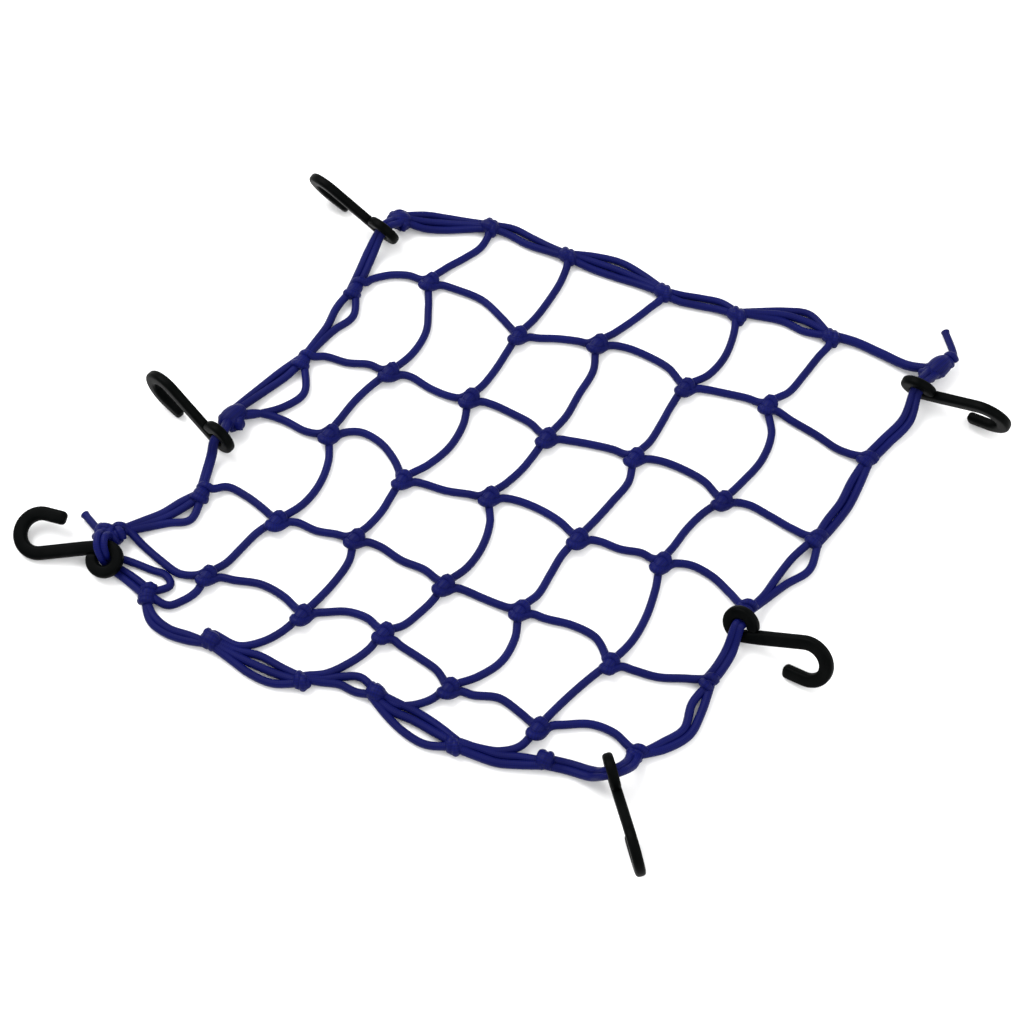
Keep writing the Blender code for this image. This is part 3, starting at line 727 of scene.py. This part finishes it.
def big_knots(cords):
    """The corner knots and two more lumps of many cords, each of one to three pairs of turns."""
    steady = np.random.default_rng(BIG_KNOT_SEED)
    for place, lumps in BIG_KNOTS.items():
        for heading, size, shift, full in lumps:
            knot = knot_place(*place) + shift
            heading = math.radians(heading)
            turns = wrapped_turns(cords, knot, heading, BIG_TURNS, steady, size, (full, full))
            cords.add(smooth_line(turns), KNOT_CORD)


# ---------------------------------------------------------------------------------------------
# The net
# ---------------------------------------------------------------------------------------------
def cords_across(steady):
    """The cords across, each knotted round the cords down."""
    cords = Cords()
    for row, cells in ROW_BOWS.items():
        knots = [knot_place(row, column) for column in range(KNOTS_A_SIDE)]
        middles = [strand_middle(a, b, bows, ROW_CORD) for a, b, bows in zip(knots, knots[1:], cells)]
        line = []
        for column, knot in enumerate(knots):
            if 0 < column < LAST:
                line += cross_turns(cords, knot, middles[column - 1][-1], middles[column][0], steady)
            elif (row, column) in BIG_KNOTS:
                line.append(knot)
            elif column == 0:
                line += border_knot(cords, row, column, steady)[::-1]
            else:
                line += border_knot(cords, row, column, steady)
            if column < LAST:
                line += middles[column]
        line = smooth_line(line)
        cords.add(line, swollen(line, knots, ROW_CORD))
    return cords


def cords_down(steady):
    """The cords down, knotted round the border at both ends."""
    cords = Cords()
    for column, cells in COLUMN_BOWS.items():
        knots = [knot_place(row, column) for row in range(KNOTS_A_SIDE)]
        line = [knots[0]] if (0, column) in BIG_KNOTS else border_knot(cords, 0, column, steady)[::-1]
        for row, bows in enumerate(cells):
            line += strand_middle(knots[row], knots[row + 1], bows, COLUMN_CORD)
            if row + 1 < LAST:
                line.append(knots[row + 1])
        line += [knots[LAST]] if (LAST, column) in BIG_KNOTS else border_knot(cords, LAST, column, steady)
        line = smooth_line(line)
        cords.add(line, swollen(line, (knots[0], knots[LAST]), COLUMN_CORD))
    return cords


def border_strands(cords):
    """The strands that lie between border knots, which enter them side by side."""
    for start, end, bows, thickness, lift in BORDER:
        first, last = knot_place(*start), knot_place(*end)
        thickness *= BORDER_SWELL
        middle = strand_middle(first, last, bows, thickness, lift)
        beside = left_of(last - first)
        first = first + np.clip(0.5 * bows[0], -KNOT_SPREAD, KNOT_SPREAD) * beside
        last = last + np.clip(0.5 * bows[2], -KNOT_SPREAD, KNOT_SPREAD) * beside
        cords.add(smooth_line([first] + middle + [last]), thickness)


def cord_pair(cords, points, thickness, apart):
    """Two strands side by side along the points; thickness and distance apart are for each point."""
    points = np.asarray(points, float)
    line = smooth_line(points)
    run = run_along(line)
    at = [run[np.argmin(np.linalg.norm(line - p, axis=1))] for p in points]
    wide = np.interp(run, at, thickness)
    gap = np.interp(run, at, apart)
    ways = np.gradient(line, axis=0)
    flat = np.hypot(ways[:, 0], ways[:, 1])
    sides = np.stack((-ways[:, 1], ways[:, 0], 0 * flat), axis=1) / np.maximum(flat, 1e-6)[:, None]
    for i in range(1, len(sides)):
        if flat[i] < STEEP * np.linalg.norm(ways[i]) or sides[i].dot(sides[i - 1]) < 0:
            sides[i] = sides[i - 1]
    kernel = np.ones(SIDE_POINTS) / SIDE_POINTS
    padded = np.pad(sides, ((SIDE_POINTS // 2, SIDE_POINTS // 2), (0, 0)), mode="edge")
    sides = np.stack([np.convolve(padded[:, k], kernel, mode="valid") for k in range(3)], axis=1)
    sides /= np.linalg.norm(sides, axis=1)[:, None]
    for hand in (-1, 1):
        cords.add(line + hand * 0.5 * gap[:, None] * sides, wide)


def threaded_pairs(cords, eyes):
    """The border pairs that run from knot to knot through the hooks' eyes."""
    for hook_name, start, end, bow_in, bows, apart in THREADED:
        eye, axis = eyes[hook_name]
        first, last = knot_place(*start), knot_place(*end)
        axis = -axis if (first - eye).dot(axis) < 0 else axis
        up = UP - axis[2] * axis
        eye = eye + EYE_RISE * up / np.linalg.norm(up)
        into = eye + EYE_STRAIGHT * axis
        out = eye - EYE_STRAIGHT * axis - EYE_DROP * RISE
        half_in = first + 0.5 * (into - first) + bow_in * left_of(into - first)
        half_out, late_out = strand_middle(first, last, (0, *bows), PAIR_CORD)[1:]
        half_out = half_out + max(EYE_SAG * eye[2] - half_out[2], 0) * RISE
        points = [first, half_in, into, eye, out, half_out, late_out, last]
        thickness = [PAIR_CORD] * 2 + [EYE_CORD] * 3 + [PAIR_CORD] * 3
        cord_pair(cords, points, thickness, [apart] * 2 + [min(apart, EYE_PAIR)] * 3 + [apart] * 3)


def border(eyes):
    """All of the border's cords and big knots."""
    cords = Cords()
    border_strands(cords)
    threaded_pairs(cords, eyes)
    corner = np.array(CORNER_PAIR)
    cord_pair(cords, corner[:, :3], corner[:, 3], corner[:, 4])
    cords.add(smooth_line(SLACK_LOOP), LOOSE_CORD)
    big_knots(cords)
    return cords


# ---------------------------------------------------------------------------------------------
# Hooks
# ---------------------------------------------------------------------------------------------
def deselect_all():
    """Leaves edit mode with nothing selected."""
    if bpy.context.mode != "OBJECT":
        bpy.ops.object.mode_set(mode="OBJECT")
    bpy.ops.object.select_all(action="DESELECT")


def select_faces(made, test):
    """Selects the faces whose middle passes the test; the object is in edit mode before and after."""
    bpy.ops.mesh.select_all(action="DESELECT")
    bpy.ops.object.mode_set(mode="OBJECT")
    for face in made.data.polygons:
        face.select = test(face.center)
    bpy.ops.object.mode_set(mode="EDIT")
    bpy.ops.mesh.select_mode(type="FACE")


def extrude(way):
    """Extrudes the selected face by a way in metres."""
    bpy.ops.mesh.extrude_region_move(TRANSFORM_OT_translate={"value": way})


def sweep(steps, degrees, centre):
    """Sweeps the selected face round a centre in the hook's plane."""
    bpy.ops.mesh.spin(steps=steps, angle=math.radians(degrees), center=centre, axis=(0, 0, 1))


def round_end(way):
    """Domes the end of the bar along its way, in small steps."""
    before, size = 0.0, 1.0
    for share in DOME_SHARES:
        reach = TIP_REACH * share
        scale = TIP_FLAT + (1 - TIP_FLAT) * math.sqrt(1 - share**2)
        extrude(way * (reach - before) * MM)
        bpy.ops.transform.resize(value=(scale / size,) * 3)
        before, size = reach, scale


def plane_way(degrees):
    """The way at this heading in the hook's plane."""
    heading = math.radians(degrees)
    return Vector((math.cos(heading), math.sin(heading), 0))


def bar_section(shaft):
    """The bar's section where its shaft starts, a rounded rectangle in edit mode."""
    deselect_all()
    place = (SHAFT_START * MM, shaft, 0)
    bpy.ops.mesh.primitive_plane_add(size=1.0, location=place, rotation=(0, math.pi / 2, 0))
    made = bpy.context.object
    made.name = "hook_pattern"
    made.scale = (BAR_DEEP * MM, BAR * MM, 1)
    bpy.ops.object.transform_apply(location=True, rotation=True, scale=True)
    bpy.ops.object.mode_set(mode="EDIT")
    bpy.ops.mesh.select_all(action="SELECT")
    bpy.ops.mesh.bevel(offset=CORNER * MM, segments=CORNER_STEPS, affect="VERTICES")
    bpy.ops.mesh.select_mode(type="FACE")
    bpy.ops.mesh.select_all(action="SELECT")
    return made


def moulded_hook(surface):
    """One hook in its own plane: a rounded bar swept from its shaft to both ends."""
    shaft = -EYE_RADIUS * MM
    made = bar_section(shaft)
    for step in range(SHAFT_STEPS):
        extrude(((CURL_START - SHAFT_START) / SHAFT_STEPS * MM, 0, 0))
    sweep(CURL_STEPS, CURL_SWEEP, (CURL_START * MM, shaft - CURL_RADIUS * MM, 0))
    leg = plane_way(-CURL_SWEEP)
    for step in range(LEG_STEPS):
        extrude(leg * CURL_LEG / LEG_STEPS * MM)
    round_end(leg)

    def at_start(centre):
        near_along = abs(centre.x - SHAFT_START * MM) < NEAR_ALONG * MM
        return near_along and abs(centre.y - shaft) < NEAR_ACROSS * MM

    select_faces(made, at_start)
    widths = [BAR + (EYE_BAR - BAR) * step / NECK_STEPS for step in range(NECK_STEPS + 1)]
    for before, after in zip(widths, widths[1:]):
        extrude((-SHAFT_START / NECK_STEPS * MM, 0, 0))
        bpy.ops.transform.resize(value=(1, after / before, 1))
    sweep(EYE_STEPS, EYE_SWEEP, (0, 0, 0))
    round_end(plane_way(180 - EYE_SWEEP))
    bpy.ops.mesh.select_all(action="SELECT")
    bpy.ops.mesh.remove_doubles(threshold=WELD * MM)
    bpy.ops.mesh.normals_make_consistent(inside=False)
    bpy.ops.object.mode_set(mode="OBJECT")
    bpy.ops.object.shade_smooth()
    made.data.materials.clear()
    made.data.materials.append(surface)
    return made


def hook_turn(pose):
    """How a hook is turned from its own plane to where it lies."""
    swing = Euler((0, 0, math.radians(pose["swing"]))).to_matrix()
    roll = Euler((math.radians(pose["roll"]), 0, 0)).to_matrix()
    slope = Euler((0, math.radians(pose["slope"]), 0)).to_matrix()
    heading = Euler((0, 0, math.radians(pose["heading"]))).to_matrix()
    return heading @ slope @ roll @ swing


def hang_hooks(pattern):
    """A copy of the hook for each of its places, down on the floor; returns each eye's middle and
    axis in millimetres, and the copies."""
    eyes, made = {}, {}
    for name, pose in HOOKS.items():
        turn = hook_turn(pose)
        mesh = pattern.data.copy()
        mesh.name = "moulded_" + name
        mesh.transform(turn.to_4x4())
        lift = -min(vertex.co.z for vertex in mesh.vertices)
        place = Vector((pose["eye"][0] * MM, pose["eye"][1] * MM, lift))
        mesh.transform(Matrix.Translation(place))
        hook = bpy.data.objects.new("moulded_" + name, mesh)
        bpy.context.scene.collection.objects.link(hook)
        made[name] = hook
        eyes[name] = (np.array(place) / MM, np.array(turn @ Vector(UP)))
    bpy.data.objects.remove(pattern, do_unlink=True)
    return eyes, made


# ---------------------------------------------------------------------------------------------
# Floor, light and camera
# ---------------------------------------------------------------------------------------------
def paper_floor():
    """A wide sheet of matte white paper."""
    deselect_all()
    bpy.ops.mesh.primitive_plane_add(size=FLOOR_SIZE, location=(0, 0, FLOOR_HEIGHT))
    floor = bpy.context.object
    floor.name = "floor"
    paper = bpy.data.materials.new("white_paper")
    paper.use_nodes = True
    shader = paper.node_tree.nodes["Principled BSDF"]
    shader.inputs["Base Color"].default_value = linear("#f7f7f7")
    shader.inputs["Roughness"].default_value = 0.9
    floor.data.materials.append(paper)


def soft_light(scene):
    """An even white room with a large lamp behind on the left and a weaker one on the right."""
    world = bpy.data.worlds.new("soft_room")
    world.use_nodes = True
    room = world.node_tree.nodes["Background"]
    room.inputs["Color"].default_value = linear("#ffffff")
    room.inputs["Strength"].default_value = ROOM_LIGHT
    scene.world = world
    for light in LIGHTS:
        lamp = bpy.data.lights.new(light["name"], "AREA")
        lamp.size = light["size"]
        lamp.energy = light["watts"]
        hung = bpy.data.objects.new(light["name"], lamp)
        hung.location = light["place"]
        hung.rotation_euler = (-Vector(light["place"])).to_track_quat("-Z", "Y").to_euler()
        scene.collection.objects.link(hung)


def camera(scene):
    """A camera that looks down at the net from its near side."""
    lens = bpy.data.cameras.new("camera")
    lens.lens = LENS_MM
    lens.sensor_width = SENSOR_MM
    lens.clip_start = NEAR_CLIP
    lens.clip_end = FAR_CLIP
    made = bpy.data.objects.new("camera", lens)
    rise = math.radians(CAMERA_RISE)
    made.location = CAMERA_TARGET + CAMERA_DISTANCE * Vector((0, -math.cos(rise), math.sin(rise)))
    made.rotation_euler = (math.pi / 2 - rise, 0, 0)
    scene.collection.objects.link(made)
    scene.camera = made


cord_surface = braided_sheath()
hook_surface = moulded_black()
eyes, hooks = hang_hooks(moulded_hook(hook_surface))
for name, hook in hooks.items():
    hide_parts(name)
    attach(hook, "root")

# The cords down take up the random draws where the cords across leave them.
cord_draws = np.random.default_rng(CORD_SEED)
across = cords_across(cord_draws)
down = cords_down(cord_draws)
loose = Cords()
for points in LOOSE_ENDS:
    loose.add(smooth_line(points), LOOSE_CORD, flare=FLARE)
net_pieces = (
    across.piece("cords_across", cord_surface),
    down.piece("cords_down", cord_surface),
    border(eyes).piece("border_cords", cord_surface),
    loose.piece("loose_ends", cord_surface),
)
for piece in net_pieces:
    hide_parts("net")
    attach(piece, "root")

scene = bpy.context.scene
scene.view_settings.view_transform = "Standard"
paper_floor()
soft_light(scene)
camera(scene)
